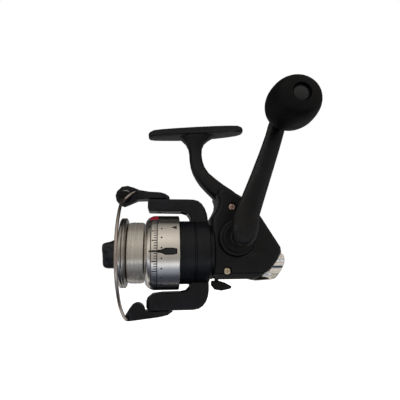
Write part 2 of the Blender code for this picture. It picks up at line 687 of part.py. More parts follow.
def make_rotor():
    cup = [(-15.2, 17.2), (-15.2, 18.3), (-15.6, CUP_RADIUS), (-22.9, CUP_RADIUS), (-23.2, 18.1),
           (-24.0, 18.1), (-24.3, CUP_RADIUS), (-35.6, CUP_RADIUS), (-36.0, 18.3),
           (-36.0, 17.2), (-29.4, 17.2), (-29.4, 6.2), (-30.2, 6.0), (-30.2, 2.9), (-26.8, 2.9),
           (-26.8, 6.0), (-27.6, 6.2), (-27.6, 17.2)]
    item = revolve("rotor", cup, segments=40)
    upper = [(-50.8, 24.8), (-51.2, 26.0), (-51.2, 30.0), (-50.0, UPPER_ARM_OUT), (-28.0, UPPER_ARM_OUT),
             (-24.0, 31.3), (-21.2, 30.6), (-18.9, 28.8), (-17.1, 26.0), (-15.8, 22.4), (-15.3, 18.6),
             (-15.3, 16.9), (-25.4, 16.9),
             (-25.8, 20.8), (-27.6, 23.2), (-30.6, 24.1), (-50.0, 24.3)]
    lower = [(-50.8, -26.0), (-51.2, -27.4), (-51.2, -31.0), (-49.8, LOWER_ARM_OUT), (-24.4, LOWER_ARM_OUT),
             (-21.4, -32.2), (-18.9, -30.7), (-17.0, -28.3), (-15.8, -25.2), (-15.3, -21.8),
             (-15.3, -16.9), (-25.9, -16.9),
             (-26.3, -20.4), (-28.1, -22.2), (-31.0, -22.9), (-42.0, -23.0), (-47.8, -23.7)]
    for outline in (upper, lower):
        arm = prism("arm", outline, "Y", -7.2, 7.2)
        soften(arm, 1.3, 2, 60)
        cut(arm, rod("clear", "X", (0, 0, 0), -40.0, -10.0, 17.9, 40))
        add(item, arm)
    front = block("front", (-56.0, BAIL_X), (-9.0, 9.0), (-34.0, -20.0))
    cut(front, rod("end", "Z", (BAIL_X, 0, 0), -36.0, -18.0, ARM_END_RADIUS, 36))
    cut(item, front)
    cut(item, block("upper_pocket", (-41.2, -27.6), (-4.6, 4.6), (20.0, 29.4)))
    cut(item, block("lower_pocket", (-42.4, -22.6), (-4.6, 4.6), (-30.4, -20.0)))
    cut(item, rod("upper_bore", "Z", (BAIL_X, 0, 0), 23.0, 34.0, 1.7, 16))
    cut(item, rod("lower_bore", "Z", (BAIL_X, 0, 0), -34.0, -22.0, 1.7, 16))
    return finish(item, BLACK)


def roller_piece(name, outline, segments=20):
    """A turned piece on the line roller's axis, given as (along, radius) pairs."""
    item = revolve(name, outline, "Y", (0, 0, 0), segments)
    start = Matrix.Translation(Vector(ROLLER_START))
    return turn(item, start @ Matrix.Rotation(math.pi - -ROLLER_TILT, 4, "X"))


def make_bail_arm():
    side = [(-37.2, 31.7), (-37.2, 32.8), (-39.0, 34.6), (-44.0, 35.6), (-50.3, 36.0), (-56.3, 37.2),
            (-60.0, 38.9), (-63.5, 40.0), (-67.0, 39.4), (-69.8, 36.6), (-70.6, 33.9), (-70.0, 30.8),
            (-67.8, 28.2), (-65.2, 27.3), (-61.4, 29.2), (-57.3, 31.2), (-52.0, 31.7)]
    plan = [(-37.9, 0.0)]
    for degrees in (55, 75, 95):
        angle = math.radians(degrees)
        plan.append((BAIL_X + 6.6 * math.cos(angle), 6.6 * math.sin(angle)))
    plan += [(-52.0, 5.2), (-58.0, 3.4), (-64.0, 2.2), (-69.4, 1.0), (-71.0, -0.6), (-71.0, -3.4),
             (-62.0, -3.4), (-58.0, -4.4), (-52.0, -5.8)]
    for degrees in (-95, -75, -55):
        angle = math.radians(degrees)
        plan.append((BAIL_X + 6.6 * math.cos(angle), 6.6 * math.sin(angle)))
    item = prism("bail_arm", side, "Y", -9.0, 9.0)
    keep_shared(item, prism("plan", plan, "Z", 20.0, 45.0))
    soften(item, 0.5, 1, 45)
    face = block("face", (-9.0, 6.5), (-12.0, 0.0), (-20.0, 20.0))
    turn(face, Matrix.Translation(Vector(ROLLER_START)) @ Matrix.Rotation(ROLLER_TILT, 4, "X"))
    cut(item, face)
    cut(item, rod("bore", "Z", (BAIL_X, 0, 0), 30.0, 38.0, 1.8, 20))
    cut(item, rod("head", "Z", (BAIL_X, 0, 0), 34.2, 38.0, 3.2, 20))
    cut(item, roller_piece("pin_bore", [(-8.0, 0), (-8.0, 1.2), (1.0, 1.2), (1.0, 0)], 16))
    return finish(item, BLACK, (BAIL_X, 0, 0))


def make_bail_lever():
    side = [(-36.0, -33.0), (-36.0, -33.9), (-38.8, -35.3), (-44.0, -36.2), (-50.0, -36.9),
            (-57.0, -37.6), (-61.0, -37.9), (-62.8, -37.5), (-63.2, -36.3), (-62.5, -34.6),
            (-61.3, -32.6), (-60.2, -30.8), (-58.9, -29.2), (-57.2, -28.3), (-55.2, -28.2), (-53.4, -29.2),
            (-51.8, -31.2), (-51.4, -33.0)]
    plan = [(-36.0, -1.5), (-36.0, 1.5), (-38.6, 5.0), (-42.0, 6.2), (-47.0, 6.2), (-52.0, 4.6),
            (-58.0, 2.6), (-62.0, 0.8), (-63.4, -1.6), (-63.4, -5.2), (-60.0, -6.6), (-53.0, -6.0),
            (-47.0, -6.2), (-42.0, -6.2), (-38.6, -5.0)]
    item = prism("bail_lever", side, "Y", -9.0, 9.0)
    keep_shared(item, prism("plan", plan, "Z", -45.0, -20.0))
    soften(item, 0.5, 1, 45)
    cut(item, rod("bore", "Z", (BAIL_X, 0, 0), -40.0, -30.0, 1.8, 20))
    cut(item, rod("head", "Z", (BAIL_X, 0, 0), -40.0, -34.8, 3.2, 24))
    cut(item, rod("wire_bore", "Y", (-61.4, 0, -36.2), -9.0, -2.4, WIRE_RADIUS + GAP, 16))
    top = LOWER_ARM_OUT - GAP
    cut(item, rod("swing_clear", "Z", (BAIL_X, 0, 0), top, -20.0, ARM_END_RADIUS + 0.6, 36))
    cut(item, block("side_clear", (-70.0, BAIL_X), (0.6, 9.0), (top, -20.0)))
    return finish(item, BLACK, (BAIL_X, 0, 0))


def make_bail_wire():
    knots = [(-56.6, -7.4, 35.8), (-58.6, -10.4, 34.7), (-61.2, -12.4, 32.5), (-63.7, -13.5, 29.8),
             (-64.9, -16.6, 27.6), (-64.9, -21.2, 25.6), (-64.8, -28.4, 20.2), (-64.8, -34.4, 12.2),
             (-64.7, -37.5, 2.6), (-64.4, -37.6, -7.4), (-63.9, -34.2, -17.2), (-63.3, -27.4, -25.8),
             (-62.6, -18.8, -31.8), (-61.9, -11.8, -35.2), (-61.4, -7.2, -36.2), (-61.4, -2.8, -36.2)]
    path = smooth_path(knots, 3)
    radii = [WIRE_RADIUS * min(1.0, 0.45 + 0.55 * i / 12) for i in range(len(path))]
    item = sweep("bail_wire", path, radii, 10)
    add(item, roller_piece("cone", [(5.7, 0), (5.7, 3.5), (6.6, 3.7), (7.6, 2.8), (9.0, 1.5), (10.6, 0.9),
                                    (10.6, 0)]))
    cut(item, roller_piece("pin_bore", [(5.0, 0), (5.0, 0.9), (7.4, 0.9), (7.4, 0)], 12))
    return finish(item, STEEL, (BAIL_X, 0, 0))


make_rotor()
make_bail_arm()
make_bail_lever()
make_bail_wire()
screw("bail_arm_screw", "Z", (BAIL_X, 0, 0), 36.0, 26.0, 2.9, 1.4, 1.3, STEEL)
screw("bail_lever_screw", "Z", (BAIL_X, 0, 0), -36.4, -25.0, 2.9, 1.4, 1.3, STEEL)
roller = roller_piece("line_roller", [(0.35, 1.7), (0.35, 3.5), (1.2, 2.9), (2.8, 2.6), (4.4, 2.9),
                                      (5.3, 3.5), (5.3, 1.7)])
finish(roller, CHROME, ROLLER_START)
roller_pin = roller_piece("roller_screw", [(-4.6, 0), (-4.6, 0.6), (-4.2, 0.85), (7.1, 0.85),
                                           (7.1, 0)], 16)
finish(roller_pin, STEEL, ROLLER_START)
finish(roller_piece("roller_bush", [(0.5, 1.1), (0.5, 1.45), (5.1, 1.45), (5.1, 1.1)], 16), BRASS,
       ROLLER_START)
turns = []
for i in range(51):
    angle = 2 * math.pi * i / 10
    turns.append((-39.6 + 11.0 * i / 50, 2.4 * math.cos(angle), 27.2 + 1.6 * math.sin(angle)))
finish(sweep("bail_spring", turns, [0.35] * len(turns), 5), STEEL)
finish(block("arm_cover_upper", (-40.9, -31.3), (-4.3, 4.3), (24.3, 24.9)), BLACK)
finish(block("arm_cover_lower", (-42.1, -31.3), (-4.3, 4.3), (-23.8, -23.2)), BLACK)
TRIP = (-33.0, 0, 0)
trip = prism("trip_lever", [(-41.0, -0.9), (-41.6, 0.2), (-40.6, 1.1), (-33.8, 1.9), (-32.2, 1.9),
                            (-24.6, 1.0), (-23.9, 0.0), (-24.6, -1.0), (-32.2, -1.9), (-33.8, -1.9)],
             "Z", -27.4, -25.9)
cut(trip, rod("bore", "Z", TRIP, -29.0, -24.0, 1.0, 16))
finish(trip, STEEL, TRIP)
finish(rod("trip_pin", "Z", TRIP, -30.1, -24.1, 0.7, 16), STEEL, TRIP)
hexagon = [(5.0 * math.cos(math.pi * k / 3), 5.0 * math.sin(math.pi * k / 3)) for k in range(6)]
nut = prism("rotor_nut", hexagon, "X", -32.9, -30.5)
cut(nut, rod("bore", "X", (0, 0, 0), -34.0, -29.0, 2.9, 24))
finish(nut, BRASS)


# ---------------------------------------------------------------- spool and drag

CLIP_SLOT = [(-44.8, -0.7), (-42.6, -1.0), (-40.6, -1.9), (-36.6, -1.9), (-34.2, -1.4),
             (-34.2, 1.4), (-36.6, 1.9), (-40.6, 1.9), (-42.6, 1.0), (-44.8, 0.7)]


def make_spool():
    outline = [(SKIRT_REAR_X, 20.1), (SKIRT_REAR_X, 21.2), (-32.8, SKIRT_RADIUS), (-47.2, SKIRT_RADIUS),
               (-48.8, 21.3), (-50.5, 20.3), (-51.7, 18.9), (-52.2, 17.6), (-52.4, ARBOR_RADIUS),
               (-62.0, ARBOR_RADIUS), (-62.3, 17.4), (-62.7, 19.3), (-63.2, 20.3), (-63.9, 20.5),
               (-64.3, 20.3), (-64.3, 17.6), (-63.6, 16.6), (-63.4, 10.6), (-63.4, 9.4), (-55.5, 9.4),
               (-55.5, 1.8), (-46.4, 1.8), (-46.4, 4.4), (-52.2, 4.6), (-52.5, 10.4), (-50.8, 10.6),
               (-50.6, 17.0), (-49.8, 18.9), (-48.4, 19.8), (-46.4, 20.1)]
    item = revolve("spool", outline, segments=40)
    cut(item, prism("clip_slot", CLIP_SLOT, "Y", -23.0, -19.0))
    holes = []
    for degrees in (78, -84, 180):
        angle = math.radians(degrees)
        hole = rod("hole", "Y", (0, 0, 0), -23.0, -18.0, 1.3, 14)
        holes.append(turn(hole, Matrix.Translation((-37.0, 0, 0)) @ Matrix.Rotation(angle, 4, "X")))
    cut(item, *holes)
    return finish(item, SILVER)


make_spool()
lip = [(-64.6, 17.9), (-64.6, 20.2), (-65.2, 20.5), (-66.1, 20.2), (-66.6, 19.4), (-66.3, 18.4),
       (-65.5, 17.9)]
finish(revolve("spool_lip_ring", lip, segments=40), CHROME)
winding = [(-52.9, 12.3), (-52.6, 17.2), (-53.4, 17.7), (-57.2, WINDING_RADIUS + 0.2), (-61.0, 17.3),
           (-61.9, 16.9), (-61.7, 12.3)]
finish(revolve("line_winding", winding, segments=40), LINE)
clip = prism("line_clip", [(-44.4, -20.4), (-44.4, -21.5), (-43.8, -21.9), (-39.6, -21.9), (-38.6, -22.2),
                           (-35.2, -22.2), (-34.5, -21.8), (-34.5, -20.4)], "Z", -1.5, 1.5)
keep_shared(clip, prism("plan", shrink(CLIP_SLOT, 0.35), "Y", -23.0, -19.0))
finish(soften(clip, 0.2, 1, 50), BLACK)
finish(ring("spool_seat_washer", "X", (0, 0, 0), -46.1, -45.5, 1.8, 4.2, 24), WHITE)
click = prism("click_wheel", gear_outline(16, 4.4, 0.4, 0.4, 0.5, 0.0), "X", -45.2, -43.8)
cut(click, rod("bore", "X", (0, 0, 0), -47.0, -42.0, 1.8, 20))
finish(click, WHITE)
finish(ring("drag_felt_rear", "X", (0, 0, 0), -56.9, -55.8, 2.2, 9.0), FELT)
finish(ring("drag_plate", "X", (0, 0, 0), -58.0, -57.2, 1.8, 9.0), STEEL)
finish(ring("drag_felt_front", "X", (0, 0, 0), -59.4, -58.3, 2.2, 9.0), FELT)
finish(ring("drag_pressure_washer", "X", (0, 0, 0), -60.8, -59.7, 1.8, 8.6), STEEL)
finish(ring("drag_retainer", "X", (0, 0, 0), -62.0, -61.2, 7.4, 9.1), STEEL)


def lobes(along, radius, angle):
    """Three broad finger grips that grow towards the drag knob's face, one pointing down."""
    if radius < 5.0:
        return 1.0
    depth = 0.33 * min(1.0, max(0.0, (-67.0 - along) / 7.0)) + 0.12 * max(0.0, (-74.0 - along) / 3.0)
    return 1.0 - depth * (1.0 - (0.5 + 0.5 * math.sin(3 * angle)) ** 2)


knob = [(-64.4, 4.9), (-64.4, 7.8), (-65.2, 8.9), (-67.0, 9.2), (-70.5, 9.1), (-74.0, 9.0), (-75.8, 8.4),
        (-76.6, 7.3), (-76.9, 5.0), (-76.9, 0), (-75.4, 0), (-75.4, 4.2), (-74.8, 4.9)]
finish(revolve("drag_knob", knob, segments=48, ripple=lobes), BLACK)
nut = prism("drag_nut", [(a * 0.86, b * 0.86) for a, b in hexagon], "X", -73.2, -70.2)
cut(nut, rod("bore", "X", (0, 0, 0), -75.0, -69.0, 1.8, 20))
finish(nut, BRASS)
turns = []
for i in range(31):
    angle = 2 * math.pi * i / 10
    turns.append((-69.4 + 7.8 * i / 30, 3.4 * math.cos(angle), 3.4 * math.sin(angle)))
finish(sweep("drag_spring", turns, [0.45] * len(turns), 5), STEEL)

frame.rotation_euler = (0, FOOT_TILT, 0)
shift = Matrix.Rotation(FOOT_TILT, 4, "Y") @ Vector(FOOT_MIDDLE)
frame.location = -shift * MM
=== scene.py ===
"""Looks for the spinning reel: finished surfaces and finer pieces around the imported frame.

Lengths are millimetres in the reel's own frame: X runs back along the main shaft, the handle is
on the -Y side, the foot is at +Z, and the origin is on the main shaft under the handle axis.
REEL turns that frame into the world's.
"""
import json
import math

import bmesh
import bpy
from mathutils import Matrix, Vector

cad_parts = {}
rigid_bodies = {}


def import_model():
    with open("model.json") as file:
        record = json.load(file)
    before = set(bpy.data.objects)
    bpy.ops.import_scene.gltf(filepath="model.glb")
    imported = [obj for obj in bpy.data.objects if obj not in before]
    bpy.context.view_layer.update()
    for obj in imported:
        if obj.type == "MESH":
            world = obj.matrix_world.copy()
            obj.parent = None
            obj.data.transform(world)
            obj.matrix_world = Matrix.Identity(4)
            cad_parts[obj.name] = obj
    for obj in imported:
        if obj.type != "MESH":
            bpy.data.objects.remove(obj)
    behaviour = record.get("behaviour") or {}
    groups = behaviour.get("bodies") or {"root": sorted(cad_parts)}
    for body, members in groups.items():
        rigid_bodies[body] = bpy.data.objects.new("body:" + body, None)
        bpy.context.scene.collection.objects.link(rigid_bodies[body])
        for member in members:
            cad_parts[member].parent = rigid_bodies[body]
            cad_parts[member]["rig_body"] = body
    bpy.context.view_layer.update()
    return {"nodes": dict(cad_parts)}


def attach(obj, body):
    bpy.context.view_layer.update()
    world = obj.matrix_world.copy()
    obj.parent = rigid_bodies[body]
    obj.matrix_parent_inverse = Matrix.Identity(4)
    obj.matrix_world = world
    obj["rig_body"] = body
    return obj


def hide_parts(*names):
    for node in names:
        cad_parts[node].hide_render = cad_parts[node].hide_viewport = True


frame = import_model()

MM = 0.001
FOOT_TILT = math.radians(5.0)
FOOT_MIDDLE = Vector((-21.5, 0.0, 78.0))
REEL = Matrix.Rotation(FOOT_TILT, 4, "Y") @ Matrix.Translation(-FOOT_MIDDLE)

KNOB_X = 18.2
KNOB_Z = 67.0
BAIL_X = -44.5
SKIRT_RADIUS = 21.8
ARBOR_RADIUS = 12.0
WIRE_RADIUS = 0.85
ROLLER_START = Vector((-64.5, -3.2, 33.9))
ROLLER_TILT = math.radians(20.0)
SMOOTH_UP_TO = 38.0     # degrees between faces, below which shading runs on
ON_AXIS = 1e-6


# ---------------------------------------------------------------- shapes

def add_object(name, data):
    """Put a new object into the scene."""
    item = bpy.data.objects.new(name, data)
    bpy.context.scene.collection.objects.link(item)
    return item


def add_shape(name, points, faces):
    """An object from reel-frame points in millimetres."""
    mesh = bpy.data.meshes.new(name)
    mesh.from_pydata([(REEL @ Vector(p)) * MM for p in points], [], faces)
    tidy(mesh)
    return add_object(name, mesh)


def new_piece(name, points, faces, look, body, node=None, slot=None):
    """Make a piece from reel-frame points, riding on a body, perhaps in place of a CAD node."""
    return place(add_shape(name, points, faces), look, body, node, slot)


def place(item, look, body, node=None, slot=None):
    """Give a piece its material, and its place among the bodies, hiding the CAD node it stands for.
    The slot is not used.
    """
    item.data.materials.clear()
    item.data.materials.append(look)
    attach(item, body)
    if node:
        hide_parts(node)
    return item


def tidy(mesh, crease=SMOOTH_UP_TO):
    """Turn all faces outwards and shade the mesh smooth up to the crease angle in degrees."""
    work = bmesh.new()
    work.from_mesh(mesh)
    bmesh.ops.recalc_face_normals(work, faces=work.faces)
    if work.calc_volume(signed=True) < 0:
        bmesh.ops.reverse_faces(work, faces=work.faces)
    work.to_mesh(mesh)
    work.free()
    mesh.shade_smooth()
    mesh.set_sharp_from_angle(angle=math.radians(crease))


def applied(item):
    """Replace a piece's mesh with what its modifiers make of it."""
    bpy.context.view_layer.update()
    graph = bpy.context.evaluated_depsgraph_get()
    mesh = bpy.data.meshes.new_from_object(item.evaluated_get(graph))
    item.modifiers.clear()
    item.data = mesh
    return item


def rounded(outline, radius, steps=4):
    """Round each corner of a closed outline, as far as its neighbours leave room."""
    result = []
    count = len(outline)
    for i in range(count):
        before, here, after = (Vector(outline[(i + k) % count]) for k in (-1, 0, 1))
        back = before - here
        ahead = after - here
        nearly_straight = back.angle(ahead) > math.radians(176)
        if here.y < ON_AXIS or nearly_straight:
            result.append(tuple(here))
            continue
        reach = min(radius, 0.42 * back.length, 0.42 * ahead.length)
        start = here + back.normalized() * reach
        end = here + ahead.normalized() * reach
        for k in range(steps + 1):
            t = k / steps
            result.append(tuple(start * (1 - t) ** 2 + here * 2 * t * (1 - t) + end * t * t))
    return result


def turned(outline, axis="X", centre=(0, 0, 0), segments=128, ripple=None):
    """Points and faces of an (along, radius) outline turned about an axis.

    A ripple is a function of (along, radius, angle) that scales the radius.
    """
    points = []
    rings = []
    for along, radius in outline:
        ring = []
        for i in range(1 if radius < ON_AXIS else segments):
            angle = 2 * math.pi * i / segments
            reach = radius * (ripple(along, radius, angle) if ripple else 1.0)
            a = reach * math.cos(angle)
            b = reach * math.sin(angle)
            spot = {"X": (along, a, b), "Y": (a, along, b), "Z": (a, b, along)}[axis]
            ring.append(len(points))
            points.append([c + p for c, p in zip(centre, spot)])
        rings.append(ring)
    faces = []
    for i, ring in enumerate(rings):
        other = rings[(i + 1) % len(rings)]
        if len(ring) == 1 and len(other) == 1:
            continue
        for k in range(segments):
            m = (k + 1) % segments
            if len(ring) == 1:
                faces.append((ring[0], other[k], other[m]))
            elif len(other) == 1:
                faces.append((ring[k], other[0], ring[m]))
            else:
                faces.append((ring[k], other[k], other[m], ring[m]))
    return points, faces


def smooth_path(knots, steps):
    """A smooth curve through the knots, with so many steps between each two."""
    path = []
    last = len(knots) - 1
    for i in range(last):
        p0, p1, p2, p3 = (Vector(knots[min(max(i + k, 0), last)]) for k in (-1, 0, 1, 2))
        for k in range(steps):
            t = k / steps
            path.append(0.5 * (2 * p1 + (p2 - p0) * t + (2 * p0 - 5 * p1 + 4 * p2 - p3) * t * t
                               + (3 * p1 - p0 - 3 * p2 + p3) * t * t * t))
    path.append(Vector(knots[-1]))
    return path


def swept(path, radii, segments):
    """Points and faces of a round bar along a path, closed at both ends."""
    points = []
    side = (path[1] - path[0]).orthogonal().normalized()
    for i, spot in enumerate(path):
        ahead = (path[min(i + 1, len(path) - 1)] - path[max(i - 1, 0)]).normalized()
        side = (side - ahead * side.dot(ahead)).normalized()
        other = ahead.cross(side)
        for k in range(segments):
            angle = 2 * math.pi * k / segments
            points.append(spot + (side * math.cos(angle) + other * math.sin(angle)) * radii[i])
    faces = [tuple(range(segments)), tuple(range(len(points) - segments, len(points)))]
    for i in range(len(path) - 1):
        for k in range(segments):
            m = (k + 1) % segments
            a = i * segments
            faces.append((a + k, a + m, a + segments + m, a + segments + k))
    return points, faces


def refine(node, look, slot, bevel):
    """Show a finer copy of a CAD node: joined facets, rounded edges, smooth shading."""
    source = frame["nodes"][node]
    mesh = bpy.data.meshes.new("fine_" + node)
    mesh.from_pydata([v.co for v in source.data.vertices], [],
                     [p.vertices for p in source.data.polygons])
    work = bmesh.new()
    work.from_mesh(mesh)
    bmesh.ops.remove_doubles(work, verts=work.verts, dist=0.002 * MM)
    bmesh.ops.dissolve_limit(work, angle_limit=math.radians(1.0), verts=work.verts,
                             edges=work.edges, use_dissolve_boundaries=False)
    work.to_mesh(mesh)
    work.free()
    item = add_object("fine_" + node, mesh)
    edge = item.modifiers.new("edges", "BEVEL")
    edge.width = bevel * MM
    edge.segments = 2
    edge.limit_method = "ANGLE"
    edge.angle_limit = math.radians(32)
    applied(item)
    tidy(item.data, 42.0)
    weigh = item.modifiers.new("normals", "WEIGHTED_NORMAL")
    weigh.keep_sharp = True
    weigh.weight = 50
    return place(item, look, source["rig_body"], node, slot)


def carve(item, cutters):
    """Cut other objects out of a piece, then remove them."""
    for cutter in cutters:
        step = item.modifiers.new("cut", "BOOLEAN")
        step.operation = "DIFFERENCE"
        step.solver = "EXACT"
        step.object = cutter
        applied(item)
    for cutter in cutters:
        bpy.data.objects.remove(cutter, do_unlink=True)
    tidy(item.data)
    return item


def cutter(points, faces, turn=0.0):
    """A bare object to cut with, turned about the main shaft."""
    spin = Matrix.Rotation(turn, 4, "X")
    return add_shape("cutter", [spin @ Vector(p) for p in points], faces)


def box_shape(x, y, z):
    """Points and faces of a box between pairs of limits."""
    points = [(a, b, c) for a in x for b in y for c in z]
    faces = [(0, 1, 3, 2), (4, 5, 7, 6), (0, 1, 5, 4), (2, 3, 7, 6), (0, 2, 6, 4), (1, 3, 7, 5)]
    return points, faces


# ---------------------------------------------------------------- surfaces

class Surface:
    """A node material being made. Its coordinates are millimetres in the reel's frame."""

    def __init__(self, name, colour, roughness, metallic=0.0, **sockets):
        self.material = bpy.data.materials.new(name)
        self.material.use_nodes = True
        self.tree = self.material.node_tree
        self.shader = self.tree.nodes["Principled BSDF"]
        self.set("Base Color", (*colour, 1.0))
        self.set("Roughness", roughness)
        self.set("Metallic", metallic)
        for socket, value in sockets.items():
            self.set(socket.replace("_", " "), value)
        mapping = self.node("ShaderNodeMapping")
        mapping.inputs["Scale"].default_value = (1 / MM,) * 3
        mapping.inputs["Rotation"].default_value = (0, -FOOT_TILT, 0)
        mapping.inputs["Location"].default_value = FOOT_MIDDLE
        self.join(self.node("ShaderNodeTexCoord").outputs["Object"], mapping.inputs["Vector"])
        self.spot = mapping.outputs["Vector"]
        split = self.node("ShaderNodeSeparateXYZ")
        self.join(self.spot, split.inputs[0])
        self.x, self.y, self.z = split.outputs

    def node(self, kind):
        """Add a node of a kind."""
        return self.tree.nodes.new(kind)

    def join(self, value, socket):
        """Feed a socket with another node's output, or with a constant."""
        if isinstance(value, bpy.types.NodeSocket):
            self.tree.links.new(value, socket)
        else:
            socket.default_value = value

    def set(self, socket, value):
        """Feed one of the shader's sockets."""
        self.join(value, self.shader.inputs[socket])

    def maths(self, operation, *values):
        """The result of a sum on values or other nodes' outputs."""
        node = self.node("ShaderNodeMath")
        node.operation = operation
        for socket, value in zip(node.inputs, values):
            self.join(value, socket)
        return node.outputs[0]

    def spread(self, value, low, high, to_low, to_high):
        """Map a value from one range to another, and hold it inside the second."""
        node = self.node("ShaderNodeMapRange")
        for socket, number in zip(node.inputs, (value, low, high, to_low, to_high)):
            self.join(number, socket)
        return node.outputs[0]

    def paint(self, factor, first, second):
        """Mix two colours."""
        node = self.node("ShaderNodeMix")
        node.data_type = "RGBA"
        self.join(factor, node.inputs[0])
        for socket, colour in ((node.inputs[6], first), (node.inputs[7], second)):
            made = isinstance(colour, bpy.types.NodeSocket)
            self.join(colour if made else (*colour, 1.0), socket)
        return node.outputs[2]

    def noise(self, size, detail=2.0, stretch=(1, 1, 1), where=None):
        """Noise with patches of about size millimetres, drawn out along the axes by stretch."""
        mapping = self.node("ShaderNodeMapping")
        mapping.inputs["Scale"].default_value = [1 / (size * s) for s in stretch]
        self.join(where or self.spot, mapping.inputs["Vector"])
        node = self.node("ShaderNodeTexNoise")
        node.inputs["Scale"].default_value = 1.0
        node.inputs["Detail"].default_value = detail
        self.join(mapping.outputs["Vector"], node.inputs["Vector"])
        return node.outputs[0]

    def polar(self):
        """Distance from the main shaft, and the angle about it: 0 at the handle side, rising."""
        radius = self.maths("SQRT", self.maths("ADD", self.maths("MULTIPLY", self.y, self.y),
                                               self.maths("MULTIPLY", self.z, self.z)))
        return radius, self.maths("ARCTAN2", self.z, self.maths("MULTIPLY", self.y, -1.0))

    def lathe_marks(self, size):
        """Noise drawn out around the main shaft, as marks on a turned or plated surface are."""
        radius, angle = self.polar()
        node = self.node("ShaderNodeCombineXYZ")
        for socket, value in zip(node.inputs, (self.x, radius, angle)):
            self.join(value, socket)
        return self.noise(size, 2.0, (1, 1, 12), node.outputs[0])

    def edges(self, amount):
        """Where convex edges have been rubbed, in patches."""
        sharp = self.node("ShaderNodeNewGeometry").outputs["Pointiness"]
        return self.maths("MULTIPLY", self.spread(sharp, 0.52, 0.62, 0.0, amount),
                          self.spread(self.noise(1.6, 3.0), 0.35, 0.65, 0.2, 1.0))

    def bump(self, *layers):
        """Raise the surface by layers of (height, depth in millimetres)."""
        normal = None
        for height, depth in layers:
            node = self.node("ShaderNodeBump")
            node.inputs["Distance"].default_value = depth * MM
            self.join(height, node.inputs["Height"])
            if normal:
                self.join(normal, node.inputs["Normal"])
            normal = node.outputs["Normal"]
        self.set("Normal", normal)


def moulded_black(name, tone, roughness, grain, depth, specular=0.38):
    """Black moulded plastic: fine grain, handling smears and rubbed edges."""
    look = Surface(name, tone, roughness, Specular_IOR_Level=specular)
    cloud = look.spread(look.noise(9.0, 4.0), 0.3, 0.7, 0.0, 1.0)
    smear = look.noise(3.5, 5.0, (1.0, 1.0, 2.6))
    body = look.paint(cloud, [c * 0.75 for c in tone], [c * 1.35 for c in tone])
    worn = look.edges(0.5)
    look.set("Base Color", look.paint(worn, body, [c * 4.0 + 0.012 for c in tone]))
    rough = look.spread(smear, 0.3, 0.7, roughness - 0.09, roughness + 0.08)
    look.set("Roughness", look.maths("SUBTRACT", rough, look.maths("MULTIPLY", worn, 0.15)))
    look.bump((look.noise(grain, 2.0), depth), (look.noise(6.0, 2.0), 0.05))
    return look.material


def metal(name, colour, roughness, size=1.2, stretch=(1, 1, 1), depth=0.004, dull=0.12):
    """Plated or polished metal with fine scratches and slightly uneven polish."""
    look = Surface(name, colour, roughness, 1.0)
    cloud = look.noise(4.0, 3.0)
    fine = look.noise(size, 4.0, stretch)
    look.set("Base Color", look.paint(look.spread(cloud, 0.3, 0.7, 0.0, 1.0),
                                      [c * 0.84 for c in colour], colour))
    look.set("Roughness", look.spread(fine, 0.3, 0.7, roughness, roughness + dull))
    look.bump((fine, depth))
    return look.material


def rippled_chrome():
    """Plated plastic: a mirror on a gently rippled moulding, with a few dull smears."""
    tone = (0.9, 0.88, 0.85)
    look = Surface("bright_chrome", tone, 0.05, 1.0)
    smear = look.noise(2.2, 4.0, (1, 1, 2))
    look.set("Base Color", look.paint(smear, [c * 0.8 for c in tone], tone))
    look.set("Roughness", look.spread(smear, 0.4, 0.7, 0.03, 0.14))
    look.bump((look.noise(6.0, 0.3, (1.6, 1, 0.6)), 4.5), (look.noise(1.8, 0.0), 0.1))
    return look.material


